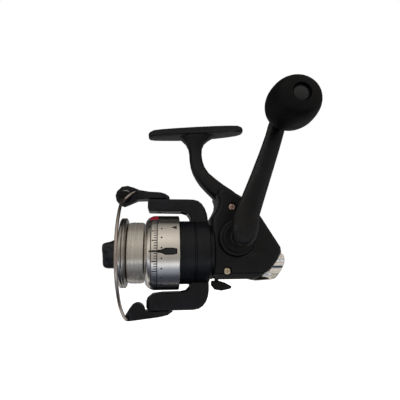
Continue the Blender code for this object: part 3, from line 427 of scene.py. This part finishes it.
def printed_silver():
    """Metallised silver with scale lines, ticks, dots, a pointer and a red mark in print, and a
    painted shadow in front of the line clip.
    """
    silver = (0.86, 0.825, 0.785)
    lip_silver = (0.46, 0.43, 0.4)
    # Dark ink of the print, also the colour of the painted shadow in front of the line clip
    ink_and_shadow = (0.012, 0.012, 0.014)
    red = (0.33, 0.012, 0.035)
    # Places are along the main shaft, or round the skirt as an arc or an angle
    ring_places = (-45.1, -48.6)
    tick_place = -46.1
    band_place = -46.7
    dot_place = -42.7
    clip_shadow_place = -47.2
    red_place = -46.9
    pointer_tip = -37.6
    pointer_place = -36.0
    pointer_angle = math.radians(37.4)
    red_angle = math.radians(66)
    lip_start = -62.15
    inside_of_skirt = 19.5
    line_reach = 0.24
    dot_radius = 0.5
    look = Surface("printed_silver", silver, 0.2, 1.0)
    radius, angle = look.polar()
    arc = look.maths("MULTIPLY", angle, SKIRT_RADIUS)

    def close(value, centre, reach):
        """1 where a value is within reach of the centre."""
        return look.maths("COMPARE", value, centre, reach)

    def every(step, offset):
        """The arc to the nearest of a row of places, a step apart round the skirt."""
        return look.maths("WRAP", look.maths("SUBTRACT", arc, offset), step / 2, -step / 2)

    def both(*masks):
        """1 where all the masks are 1."""
        result = masks[0]
        for mask in masks[1:]:
            result = look.maths("MULTIPLY", result, mask)
        return result

    turn = 2 * math.pi * SKIRT_RADIUS
    tick_step = turn / 96
    dot_step = turn / 24
    ticks = both(close(every(tick_step, 0.3), 0.0, line_reach), close(look.x, tick_place, 0.8))
    long_ticks = both(close(every(tick_step * 4, 0.3), 0.0, 0.3), close(look.x, band_place, 1.4))
    along = look.maths("SUBTRACT", look.x, dot_place)
    across = every(dot_step, 1.9)
    spot = look.maths("ADD", look.maths("MULTIPLY", along, along),
                      look.maths("MULTIPLY", across, across))
    dots = look.maths("LESS_THAN", spot, dot_radius ** 2)
    width = look.maths("MULTIPLY", look.maths("SUBTRACT", look.x, pointer_tip), 0.42)
    sideways = look.maths("ABSOLUTE", look.maths("SUBTRACT", arc, pointer_angle * SKIRT_RADIUS))
    pointer = both(look.maths("LESS_THAN", sideways, width), close(look.x, pointer_place, 1.6))
    # Painted shadow: a dark bar on the skirt in front of the line clip, drawn in with the print
    clip_shadow = both(close(look.x, clip_shadow_place, 2.4), close(arc, 0.0, 0.5))
    marks = look.maths("MAXIMUM", *(close(look.x, place, line_reach) for place in ring_places))
    for mask in (ticks, long_ticks, dots, pointer, clip_shadow):
        marks = look.maths("MAXIMUM", marks, mask)
    outer = look.maths("GREATER_THAN", radius, inside_of_skirt)
    marks = both(marks, outer)
    red_mark = both(close(look.x, red_place, 2.3), outer, close(angle, red_angle, math.radians(9.0)))
    haze = look.spread(look.noise(6.0, 4.0), 0.3, 0.7, 0.0, 1.0)
    base = look.paint(haze, [c * 0.9 for c in silver], silver)
    base = look.paint(look.maths("LESS_THAN", look.x, lip_start), base, lip_silver)
    look.set("Base Color", look.paint(red_mark, look.paint(marks, base, ink_and_shadow), red))
    # Where the print and the painted shadow lie
    print_and_shadow = look.maths("MAXIMUM", marks, red_mark)
    look.set("Metallic", look.maths("SUBTRACT", 1.0, print_and_shadow))
    fine = look.lathe_marks(0.22)
    polish = look.spread(fine, 0.3, 0.7, 0.17, 0.27)
    look.set("Roughness", look.maths("ADD", polish, look.maths("MULTIPLY", print_and_shadow, 0.2)))
    look.bump((fine, 0.0015), (print_and_shadow, 0.012), (look.noise(7.0, 2.0), 0.02))
    return look.material


def clear_line():
    """Clear nylon line: pale, slightly milky, with a soft sheen that varies from turn to turn."""
    tone = (0.7, 0.66, 0.6)
    look = Surface("nylon_line", tone, 0.3, 0.55, IOR=1.53, Specular_IOR_Level=0.6)
    shade = look.spread(look.lathe_marks(0.9), 0.3, 0.7, 0.0, 1.0)
    look.set("Base Color", look.paint(shade, (0.56, 0.53, 0.48), tone))
    look.set("Roughness", look.spread(look.noise(2.5, 3.0), 0.3, 0.7, 0.1, 0.17))
    look.bump((look.noise(0.6, 2.0), 0.002))
    return look.material


def felt():
    """Pressed wool felt of the drag washers."""
    look = Surface("pressed_felt", (0.2, 0.17, 0.13), 0.95, Sheen_Weight=0.3)
    fibre = look.noise(0.25, 6.0, (1, 3, 1))
    look.set("Base Color", look.paint(fibre, (0.12, 0.1, 0.08), (0.27, 0.23, 0.18)))
    look.bump((fibre, 0.08))
    return look.material


def nylon():
    """Off-white moulded nylon."""
    look = Surface("white_nylon", (0.7, 0.69, 0.65), 0.45)
    cloud = look.noise(3.0, 4.0)
    look.set("Base Color", look.paint(cloud, (0.62, 0.6, 0.55), (0.76, 0.75, 0.72)))
    look.set("Roughness", look.spread(cloud, 0.3, 0.7, 0.38, 0.55))
    look.bump((look.noise(0.4, 2.0), 0.01))
    return look.material


BODY_BLACK = moulded_black("housing_black", (0.0046, 0.005, 0.0062), 0.4, 0.45, 0.010, 0.25)
ROTOR_BLACK = moulded_black("rotor_black", (0.0048, 0.0056, 0.0082), 0.36, 0.4, 0.007, 0.25)
ARM_BLACK = moulded_black("arm_black", (0.0052, 0.0054, 0.006), 0.4, 0.6, 0.012, 0.25)
KNOB_BLACK = moulded_black("knob_black", (0.0042, 0.0043, 0.0047), 0.5, 0.35, 0.018, 0.12)
CLIP_BLACK = moulded_black("clip_black", (0.008, 0.009, 0.0115), 0.34, 0.3, 0.006)
SILVER = printed_silver()
LINE = clear_line()
CHROME = rippled_chrome()
LIP_CHROME = metal("lip_chrome", (0.5, 0.47, 0.44), 0.1, 0.8, (1, 1, 1), 0.002, 0.06)
WIRE_STEEL = metal("wire_steel", (0.54, 0.47, 0.43), 0.2, 0.3, (1, 4, 4), 0.002)
STEEL = metal("turned_steel", (0.56, 0.55, 0.53), 0.22, 0.5, (4, 4, 1))
ROLLER_STEEL = metal("roller_chrome", (0.74, 0.73, 0.71), 0.1, 0.4)
SCREW_BRASS = metal("passivated_screw", (0.7, 0.6, 0.43), 0.24, 0.6)
SCREW_COPPER = metal("coppered_screw", (0.6, 0.44, 0.38), 0.3, 0.6)
BRASS = metal("machined_brass", (0.72, 0.52, 0.25), 0.25, 0.4, (1, 1, 3))
CAST = metal("cast_zinc", (0.42, 0.42, 0.43), 0.42, 0.35, (1, 1, 1), 0.02, 0.2)
FELT = felt()
NYLON = nylon()


# ---------------------------------------------------------------- pieces

def make_spool():
    """The spool, turned finely, with its clip slot and balance holes cut through the skirt."""
    outline = [(-32.5, 20.1), (-32.5, 21.2), (-32.8, SKIRT_RADIUS), (-47.2, SKIRT_RADIUS),
               (-48.8, 21.3), (-50.5, 20.3), (-51.7, 18.9), (-52.2, 17.6), (-52.4, ARBOR_RADIUS),
               (-62.0, ARBOR_RADIUS), (-62.3, 17.4), (-62.7, 19.3), (-63.2, 20.3), (-63.9, 20.5),
               (-64.3, 20.3), (-64.3, 17.6), (-63.6, 16.6), (-63.4, 10.6), (-63.4, 9.4),
               (-55.5, 9.4), (-55.5, 1.8), (-46.4, 1.8), (-46.4, 4.4), (-52.2, 4.6), (-52.5, 10.4),
               (-50.8, 10.6), (-50.6, 17.0), (-49.8, 18.9), (-48.4, 19.8), (-46.4, 20.1)]
    item = new_piece("spool_shell", *turned(rounded(outline, 0.5)), SILVER, "spool", "spool",
                     "silver_spool")
    plan = [(-44.8, -0.7), (-42.6, -1.0), (-40.6, -1.9), (-36.6, -1.9), (-34.2, -1.4),
            (-34.2, 1.4), (-36.6, 1.9), (-40.6, 1.9), (-42.6, 1.0), (-44.8, 0.7)]
    outside = -23.0
    slot_depth = -19.0
    hole_depth = -18.0
    hole_radius = 1.3
    n = len(plan)
    slot = cutter([(x, y, z) for y in (outside, slot_depth) for x, z in plan],
                  [tuple(range(n)), tuple(range(n, 2 * n)),
                   *((k, (k + 1) % n, n + (k + 1) % n, n + k) for k in range(n))])
    hole = turned([(outside, 0), (outside, hole_radius), (hole_depth, hole_radius), (hole_depth, 0)],
                  "Y", (-37.0, 0, 0), 32)
    holes = [cutter(*hole, turn=-math.radians(degrees)) for degrees in (78, -84, 180)]
    carve(item, [slot, *holes])


def make_winding():
    """Line laid on the spool: a full core under even turns, with loose crossing turns on top."""
    core = [(-52.9, 12.3), (-52.7, 16.9), (-53.4, 17.2), (-56.4, 17.4), (-61.0, 16.9), (-61.9, 16.7),
            (-61.7, 12.3)]
    new_piece("line_core", *turned(rounded(core, 0.4), segments=96), LINE, "spool",
              "line_winding", "clear_line")
    first = -53.0
    last = -61.7
    steps = 96

    def height(x):
        """Radius of the wound line at a place along the spool, lower near both ends."""
        middle = (first + last) / 2
        return 17.5 - 0.5 * abs((x - middle) / (last - middle)) ** 6

    def coil(start, end, turns, rise, phase):
        """A path of turns laid a little above the winding."""
        path = []
        for i in range(turns * steps + 1):
            angle = phase + 2 * math.pi * i / steps
            x = start + (end - start) * i / (turns * steps)
            reach = height(x) + rise
            path.append(Vector((x, reach * math.cos(angle), reach * math.sin(angle))))
        return path

    path = coil(first, last, 29, 0.0, 0.0)
    points, faces = swept(path, [0.3] * len(path), 10)
    new_piece("line_turns", points, faces, LINE, "spool", None, "clear_line")
    crossings = ((-53.4, -60.9, 0.4), (-60.6, -54.0, 2.1), (-53.3, -60.0, 4.0))
    for number, (start, end, phase) in enumerate(crossings):
        path = coil(start, end, 3, 0.27, phase)
        points, faces = swept(path, [0.15] * len(path), 8)
        new_piece("crossing_turn_%d" % number, points, faces, LINE, "spool", None, "clear_line")


def make_lip():
    """The plated ring round the spool's front lip."""
    lip = [(-64.6, 17.9), (-64.6, 20.2), (-65.2, 20.5), (-66.1, 20.2), (-66.6, 19.4), (-66.3, 18.4),
           (-65.5, 17.9)]
    new_piece("lip_ring", *turned(rounded(lip, 0.45)), LIP_CHROME, "spool", "spool_lip_ring",
              "chrome_plate")


def make_drag_knob():
    """The drag knob, with three broad finger grips that grow towards its face."""
    inner_radius = 5.0
    grip_start = -67.0
    face_start = -74.0

    def lobes(along, radius, angle):
        """The share of the radius that the finger grips leave."""
        if radius < inner_radius:
            return 1.0
        depth = 0.33 * min(1.0, max(0.0, (grip_start - along) / 7.0))
        depth += 0.12 * max(0.0, (face_start - along) / 3.0)
        return 1.0 - depth * (1.0 - (0.5 + 0.5 * math.sin(3 * angle)) ** 2)

    side = smooth_path([(-65.2, 8.9, 0), (-67.0, 9.2, 0), (-70.5, 9.1, 0), (-74.0, 9.0, 0),
                        (-75.8, 8.4, 0), (-76.6, 7.3, 0), (-76.85, 5.05, 0)], 5)
    knob = [(-64.4, 4.9), (-64.4, 7.8), *(tuple(p)[:2] for p in side), (-76.85, 0), (-75.4, 0),
            (-75.4, 4.2), (-74.8, 4.9)]
    new_piece("drag_knob_cap", *turned(knob, ripple=lobes), CLIP_BLACK, "drag", "drag_knob",
              "black_plastic")


def make_handle_knob():
    """The egg-shaped handle knob, a little flattened, with its recessed end."""
    round_up_to = 4.7

    def squash(along, radius, angle):
        """The share of the radius that is left where the knob is flattened."""
        if radius < round_up_to:
            return 1.0
        return 1.0 - 0.06 * math.sin(angle) ** 2 * min(1.0, (radius - round_up_to) / 5.0)

    rows = [(-44.2, 5.0), (-45.0, 5.7), (-47.2, 6.6), (-51.0, 8.9), (-55.5, 11.2), (-60.0, 12.3),
            (-64.5, 12.35), (-69.0, 11.7), (-72.4, 10.3), (-74.3, 8.6), (-75.1, 6.8), (-75.4, 4.6)]
    egg = [tuple(p)[:2] for p in smooth_path([(a, r, 0) for a, r in rows], 5)]
    outline = [(-44.2, 2.2), *egg, (-75.1, 4.3), (-73.4, 4.2), (-73.2, 3.6), (-73.2, 2.2)]
    new_piece("knob_grip", *turned(outline, "Y", (KNOB_X, 0, KNOB_Z), 96, squash), KNOB_BLACK,
              "knob", "handle_knob", "black_plastic")


def make_knob_plug():
    """The domed plug set a little below the rim of the handle knob's end."""
    plug = [(-73.6, 0), (-73.6, 3.6), (-73.8, 3.9), (-74.1, 3.7), (-74.4, 2.8), (-74.6, 1.4),
            (-74.65, 0)]
    new_piece("knob_plug", *turned(rounded(plug, 0.3), "Y", (KNOB_X, 0, KNOB_Z), 64), CLIP_BLACK,
              "knob", "knob_cap", "black_plastic")


def turned_on_roller(outline):
    """Points and faces of an (along, radius) outline turned about the roller's tilted axis."""
    spin = Matrix.Rotation(ROLLER_TILT, 3, "X")
    points, faces = turned(outline, "Y", segments=64)
    return [ROLLER_START + spin @ Vector((x, -along, z)) for x, along, z in points], faces


def make_roller():
    """The line roller: a waisted, polished wheel."""
    outline = [(0.35, 1.7), (0.35, 3.5), (1.2, 2.9), (2.8, 2.6), (4.4, 2.9), (5.3, 3.5), (5.3, 1.7)]
    new_piece("roller_wheel", *turned_on_roller(rounded(outline, 0.3)), ROLLER_STEEL, "roller",
              "line_roller", "chrome_plate")


def make_bail_wire():
    """The bail: a bent steel wire that tapers over the roller's black cone. Both ride on the bail."""
    cone = [(5.7, 0.9), (5.7, 3.5), (6.1, 3.68), (6.6, 3.7), (7.6, 2.8), (9.0, 1.5), (10.4, 0.9),
            (10.6, 0.0), (7.4, 0.0), (7.4, 0.9)]
    new_piece("roller_cone", *turned_on_roller(rounded(cone, 0.5)), KNOB_BLACK, "bail", None,
              "black_plastic")
    knots = [(-56.6, -7.4, 35.8), (-58.6, -10.4, 34.7), (-61.2, -12.4, 32.5), (-63.7, -13.5, 29.8),
             (-64.9, -16.6, 27.6), (-64.9, -21.2, 25.6), (-64.8, -28.4, 20.2), (-64.8, -34.4, 12.2),
             (-64.7, -37.5, 2.6), (-64.4, -37.6, -7.4), (-63.9, -34.2, -17.2), (-63.3, -27.4, -25.8),
             (-62.6, -18.8, -31.8), (-61.9, -11.8, -35.2), (-61.4, -7.2, -36.2), (-61.4, -2.8, -36.2)]
    path = smooth_path(knots, 10)
    thin_end = 0.45
    full_at = 40
    radii = [WIRE_RADIUS * min(1.0, thin_end + (1.0 - thin_end) * i / full_at)
             for i in range(len(path))]
    points, faces = swept(path, radii, 20)
    new_piece("bail_hoop", points, faces, WIRE_STEEL, "bail", "bail_wire", "steel")


def make_screw(node, axis, centre, head, tip, head_radius, shank_radius, head_height, look, body):
    """A round-headed screw with a cross recess. Head and tip are places along its axis."""
    way = 1.0 if tip > head else -1.0
    crown = [(head + way * head_height * (1 - math.cos(a)) * 0.6, head_radius * math.sin(a))
             for a in (0.0, 0.3, 0.6, 0.9, 1.2, 1.45)]
    under = head + way * head_height
    outline = [*crown, (under - way * 0.15, head_radius), (under, head_radius - 0.1),
               (under, shank_radius), (tip - way * shank_radius, shank_radius), (tip, 0.3), (tip, 0)]
    slot = "brass" if look in (SCREW_BRASS, SCREW_COPPER) else "steel"
    item = new_piece("cross_" + node, *turned(outline, axis, centre, 40), look, body, node, slot)
    long_arm = 0.62 * head_radius
    short_arm = 0.16 * head_radius
    index = "XYZ".index(axis)
    others = [i for i in range(3) if i != index]
    arms = []
    for reaches in ((long_arm, short_arm), (short_arm, long_arm)):
        span = [None, None, None]
        span[index] = tuple(sorted((head - way, head + way * head_height * 0.62)))
        for i, reach in zip(others, reaches):
            span[i] = (centre[i] - reach, centre[i] + reach)
        arms.append(cutter(*box_shape(*span)))
    carve(item, arms)


make_spool()
make_winding()
make_lip()
make_drag_knob()
make_handle_knob()
make_knob_plug()
make_roller()
make_bail_wire()
make_screw("cover_screw_1", "Y", (-2.0, 0, 25.8), -13.9, -1.0, 2.2, 1.1, 1.4, SCREW_COPPER, "body")
make_screw("cover_screw_2", "Y", (-5.6, 0, -11.0), -13.9, -1.0, 2.2, 1.1, 1.4, SCREW_BRASS, "body")
make_screw("rear_cap_screw", "X", (0, 2.0, -4.6), 30.5, 20.0, 2.1, 1.1, 1.2, STEEL, "body")
make_screw("bail_arm_screw", "Z", (BAIL_X, 0, 0), 36.0, 26.0, 2.9, 1.4, 1.3, STEEL, "rotor")
make_screw("bail_lever_screw", "Z", (BAIL_X, 0, 0), -36.4, -25.0, 2.9, 1.4, 1.3, STEEL, "rotor")

# Nodes shown as finer copies: node, material, slot, and the width of its rounded edges
for node, look, slot, bevel in (
        ("body_housing", BODY_BLACK, "black_plastic", 0.3),
        ("side_cover", BODY_BLACK, "black_plastic", 0.3),
        ("rear_cap", CHROME, "chrome_plate", 0.8),
        ("handle_arm", ARM_BLACK, "painted_arm", 0.5),
        ("handle_cap", ARM_BLACK, "black_plastic", 0.3),
        ("handle_collar", ARM_BLACK, "painted_arm", 0.15),
        ("knob_washer", NYLON, "white_plastic", 0.08),
        ("rotor", ROTOR_BLACK, "black_plastic", 0.35),
        ("arm_cover_upper", ROTOR_BLACK, "black_plastic", 0.12),
        ("arm_cover_lower", ROTOR_BLACK, "black_plastic", 0.12),
        ("bail_arm", ROTOR_BLACK, "black_plastic", 0.3),
        ("bail_lever", ROTOR_BLACK, "black_plastic", 0.3),
        ("anti_reverse_lever", BODY_BLACK, "black_plastic", 0.3),
        ("line_clip", CLIP_BLACK, "black_plastic", 0.2)):
    refine(node, look, slot, bevel)

# Nodes that keep their own meshes and take a material
for look, nodes in (
        (STEEL, ("handle_bearing_near", "handle_bearing_far", "pinion_bearing_front",
                 "pinion_bearing_rear", "pawl_pin", "handle_shaft", "knob_pin",
                 "oscillation_pinion", "main_shaft", "slider_screw", "ratchet_wheel",
                 "anti_reverse_pawl", "bail_spring", "trip_lever", "trip_pin", "drag_plate",
                 "drag_pressure_washer", "drag_retainer", "drag_spring", "roller_screw")),
        (CAST, ("drive_gear", "slider")),
        (BRASS, ("pinion_gear", "rotor_nut", "roller_bush", "drag_nut")),
        (NYLON, ("oscillation_gear", "spool_seat_washer", "click_wheel")),
        (FELT, ("drag_felt_rear", "drag_felt_front"))):
    for node in nodes:
        item = frame["nodes"][node]
        item.data.materials.clear()
        item.data.materials.append(look)


# ---------------------------------------------------------------- studio

def make_camera():
    """A camera at the handle side, a little below the reel and looking slightly up."""
    yaw = math.radians(6.1)
    pitch = math.radians(10.5)
    roll = math.radians(-0.56)
    spot = Vector((-41.4, -206.4, -6.3))
    ahead = Vector((math.sin(yaw) * math.cos(pitch), math.cos(yaw) * math.cos(pitch),
                    math.sin(pitch)))
    right = Vector((math.cos(yaw), -math.sin(yaw), 0.0))
    up = right.cross(ahead)
    right, up = (right * math.cos(roll) + up * math.sin(roll),
                 up * math.cos(roll) - right * math.sin(roll))
    turn = Matrix((right, up, -ahead)).transposed().to_4x4()
    data = bpy.data.cameras.new("camera")
    data.lens = 30.5
    data.sensor_width = 36.0
    data.clip_start = 0.01
    camera = add_object("camera", data)
    camera.matrix_world = (Matrix.Translation((REEL @ spot) * MM)
                           @ Matrix.Rotation(FOOT_TILT, 4, "Y") @ turn)
    bpy.context.scene.camera = camera


def make_floor():
    """A wide pale floor, well below the reel. It neither lights the reel nor shows in it."""
    radius = 4.0
    level = -0.32
    mesh = bpy.data.meshes.new("floor")
    work = bmesh.new()
    bmesh.ops.create_circle(work, cap_ends=True, radius=radius, segments=64)
    work.to_mesh(mesh)
    work.free()
    floor = add_object("floor", mesh)
    floor.location.z = level
    pale = bpy.data.materials.new("pale_floor")
    pale.use_nodes = True
    shader = pale.node_tree.nodes["Principled BSDF"]
    shader.inputs["Base Color"].default_value = (0.9, 0.9, 0.9, 1.0)
    shader.inputs["Roughness"].default_value = 0.9
    shader.inputs["Emission Color"].default_value = (1.0, 1.0, 1.0, 1.0)
    shader.inputs["Emission Strength"].default_value = 1.0
    floor.data.materials.append(pale)
    floor.visible_diffuse = False
    floor.visible_glossy = False


def make_world():
    """White to the camera. The reel is lit by soft bands along its length, all the way round."""
    world = bpy.data.worlds.new("studio")
    bpy.context.scene.world = world
    world.use_nodes = True
    tree = world.node_tree
    for node in list(tree.nodes):
        tree.nodes.remove(node)

    def maths(operation, *values):
        node = tree.nodes.new("ShaderNodeMath")
        node.operation = operation
        for socket, value in zip(node.inputs, values):
            if isinstance(value, bpy.types.NodeSocket):
                tree.links.new(value, socket)
            else:
                socket.default_value = value
        return node.outputs[0]

    split = tree.nodes.new("ShaderNodeSeparateXYZ")
    tree.links.new(tree.nodes.new("ShaderNodeTexCoord").outputs["Generated"], split.inputs[0])
    turn = maths("ARCTAN2", split.outputs[2], maths("MULTIPLY", split.outputs[1], -1.0))
    bands = tree.nodes.new("ShaderNodeValToRGB")
    tree.links.new(maths("ADD", maths("DIVIDE", turn, 2 * math.pi), 0.5), bands.inputs[0])
    # Brightness by degrees above the horizon at the handle side, over the top to the far side
    stops = [(-180, (0.3, 0.3, 0.31)), (-150, (0.38, 0.38, 0.39)), (-124, (0.85, 0.84, 0.8)),
             (-106, (0.05, 0.055, 0.07)), (-78, (0.06, 0.065, 0.09)), (-62, (0.3, 0.33, 0.4)),
             (-48, (0.42, 0.45, 0.52)), (-42, (1.1, 1.14, 1.22)), (-35, (1.1, 1.1, 1.1)),
             (-28, (0.42, 0.41, 0.4)), (-20, (0.38, 0.36, 0.34)), (12, (0.56, 0.52, 0.47)),
             (38, (0.86, 0.8, 0.72)), (60, (0.66, 0.61, 0.55)), (88, (0.34, 0.32, 0.29)),
             (106, (0.07, 0.068, 0.06)), (150, (0.05, 0.05, 0.05)), (180, (0.3, 0.3, 0.31))]
    ramp_scale = 0.5
    strength = 1.8
    ramp = bands.color_ramp
    while len(ramp.elements) < len(stops):
        ramp.elements.new(0.5)
    for element, (degrees, colour) in zip(ramp.elements, stops):
        element.position = degrees / 360 + 0.5
        element.color = (*(c * ramp_scale for c in colour), 1.0)
    soft = tree.nodes.new("ShaderNodeBackground")
    tree.links.new(bands.outputs[0], soft.inputs[0])
    soft.inputs[1].default_value = strength
    white = tree.nodes.new("ShaderNodeBackground")
    white.inputs[0].default_value = (1.0, 1.0, 1.0, 1.0)
    choose = tree.nodes.new("ShaderNodeMixShader")
    tree.links.new(tree.nodes.new("ShaderNodeLightPath").outputs["Is Camera Ray"], choose.inputs[0])
    tree.links.new(soft.outputs[0], choose.inputs[1])
    tree.links.new(white.outputs[0], choose.inputs[2])
    output = tree.nodes.new("ShaderNodeOutputWorld")
    tree.links.new(choose.outputs[0], output.inputs[0])


def make_light(name, spot, size, power, colour):
    """A soft square lamp at a place in metres, aimed at the reel and not mirrored in it."""
    reel_middle = Vector((-0.01, 0.0, -0.06))
    data = bpy.data.lights.new(name, "AREA")
    data.shape = "SQUARE"
    data.size = size
    data.energy = power
    data.color = colour
    lamp = add_object(name, data)
    lamp.location = spot
    aim = reel_middle - Vector(spot)
    lamp.rotation_euler = aim.to_track_quat("-Z", "Y").to_euler()
    lamp.visible_glossy = False


make_camera()
make_floor()
make_world()
make_light("key", (-0.25, -0.45, 0.35), 0.5, 1.5, (0.96, 0.98, 1.0))
make_light("rim", (0.35, 0.4, 0.4), 0.35, 2.0, (1.0, 1.0, 1.0))
bpy.context.scene.view_settings.view_transform = "Standard"
